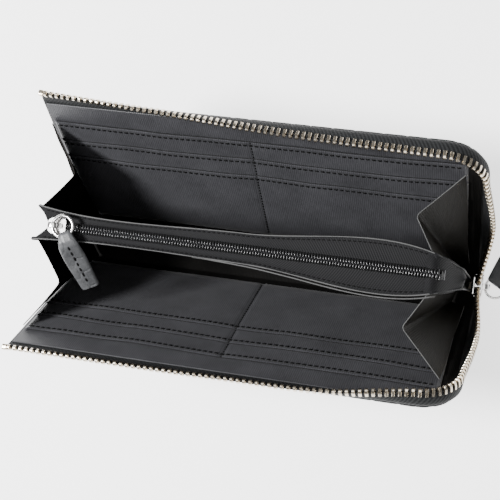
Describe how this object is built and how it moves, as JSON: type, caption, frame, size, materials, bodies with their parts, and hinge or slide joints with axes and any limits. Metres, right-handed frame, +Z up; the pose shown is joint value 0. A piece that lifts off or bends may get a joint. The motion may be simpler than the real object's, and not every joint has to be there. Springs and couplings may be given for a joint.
{
  "type": "long wallet",
  "caption": "Long zip-round wallet standing open on its spine, with card slots on both covers and a zipped coin pocket between two note spaces.",
  "frame": {"origin": "centre of the underside of the spine, the face that the open wallet stands on", "axes": "+X along the wallet to the closed end of the main zip, +Y to the rear cover, +Z up"},
  "size_m": [0.2332, 0.1114, 0.0911],
  "materials": {
    "outer_leather": "embossed scale grain, semi-gloss",
    "pull_leather": "embossed scale grain, semi-gloss",
    "lining_cloth": "fine ribbed satin",
    "gusset_cloth": "coated cloth",
    "board": "matt stiffening board",
    "zip_tape": "twill tape",
    "coin_zip_tape": "twill tape",
    "gold_metal": "polished pale gold",
    "silver_metal": "polished",
    "nylon_coil": "satin",
    "binding": "satin binding"
  },
  "bodies": {
    "core": {"spine_leather": "outer_leather", "spine_board": "board", "spine_lining": "lining_cloth", "coin_wall_rear": "lining_cloth", "coin_wall_front": "lining_cloth", "coin_pocket_base": "lining_cloth", "coin_side_left": "lining_cloth", "coin_side_right": "lining_cloth", "coin_end_tab": "coin_zip_tape", "coin_binding_rear": "binding", "coin_binding_front": "binding", "coin_tape_rear": "coin_zip_tape", "coin_tape_front": "coin_zip_tape", "coin_coil_rear": "nylon_coil", "coin_coil_front": "nylon_coil", "coin_zip_stops": "silver_metal", "gusset_rear_left": "gusset_cloth", "gusset_rear_right": "gusset_cloth", "gusset_front_left": "gusset_cloth", "gusset_front_right": "gusset_cloth", "main_zip_tail": "zip_tape", "main_zip_stop": "gold_metal"},
    "rear_cover": {"rear_cover_leather": "outer_leather", "rear_cover_board": "board", "rear_cover_lining": "lining_cloth", "rear_card_row_1": "lining_cloth", "rear_card_row_2": "lining_cloth", "rear_card_row_3": "lining_cloth", "rear_zip_tape": "zip_tape", "rear_zip_teeth": "gold_metal", "rear_zip_stop": "gold_metal"},
    "front_cover": {"front_cover_leather": "outer_leather", "front_cover_board": "board", "front_cover_lining": "lining_cloth", "front_card_row_1": "lining_cloth", "front_card_row_2": "lining_cloth", "front_card_row_3": "lining_cloth", "front_zip_tape": "zip_tape", "front_zip_teeth": "gold_metal", "front_zip_stop": "gold_metal"},
    "coin_slider": {"coin_slider": "silver_metal"},
    "coin_ring": {"coin_ring": "silver_metal"},
    "coin_pull": {"coin_strap": "pull_leather"},
    "main_slider": {"main_slider": "silver_metal"},
    "main_ring": {"main_ring": "silver_metal"},
    "main_pull": {"main_strap": "pull_leather"}
  },
  "joints": [
    {"name": "rear_cover_hinge", "type": "hinge", "parent": "core", "child": "rear_cover", "pos_m": [0, 0.0105, 0.0015], "axis": [1, 0, 0], "range_deg": [-15, 27.5], "deforming": ["gusset_rear_left", "gusset_rear_right"]},
    {"name": "front_cover_hinge", "type": "hinge", "parent": "core", "child": "front_cover", "pos_m": [0, -0.0105, 0.0015], "axis": [-1, 0, 0], "range_deg": [-15, 27.5], "deforming": ["gusset_front_left", "gusset_front_right", "coin_strap"]},
    {"name": "coin_slide", "type": "slide", "parent": "core", "child": "coin_slider", "axis": [1, 0, 0], "range_m": [0, 0.135]},
    {"name": "coin_ring_hinge", "type": "hinge", "parent": "coin_slider", "child": "coin_ring", "pos_m": [-0.0859, 0, 0.08259], "axis": [0, -1, 0], "range_deg": [0, 120]},
    {"name": "coin_pull_hinge", "type": "hinge", "parent": "coin_ring", "child": "coin_pull", "pos_m": [-0.07929, -0.00429, 0.08259], "axis": [-0.9135, -0.4067, 0], "range_deg": [0, 70]},
    {"name": "main_slide", "type": "slide", "parent": "core", "child": "main_slider", "axis": [0, 0, 1], "range_m": [0, 0.055]},
    {"name": "main_ring_hinge", "type": "hinge", "parent": "main_slider", "child": "main_ring", "pos_m": [0.1008, 0, 0.0069], "axis": [0, -1, 0], "range_deg": [0, 55]},
    {"name": "main_pull_hinge", "type": "hinge", "parent": "main_ring", "child": "main_pull", "pos_m": [0.1077, 0.00398, 0.0069], "axis": [0.866, -0.5, 0], "range_deg": [0, 20]}
  ]
}
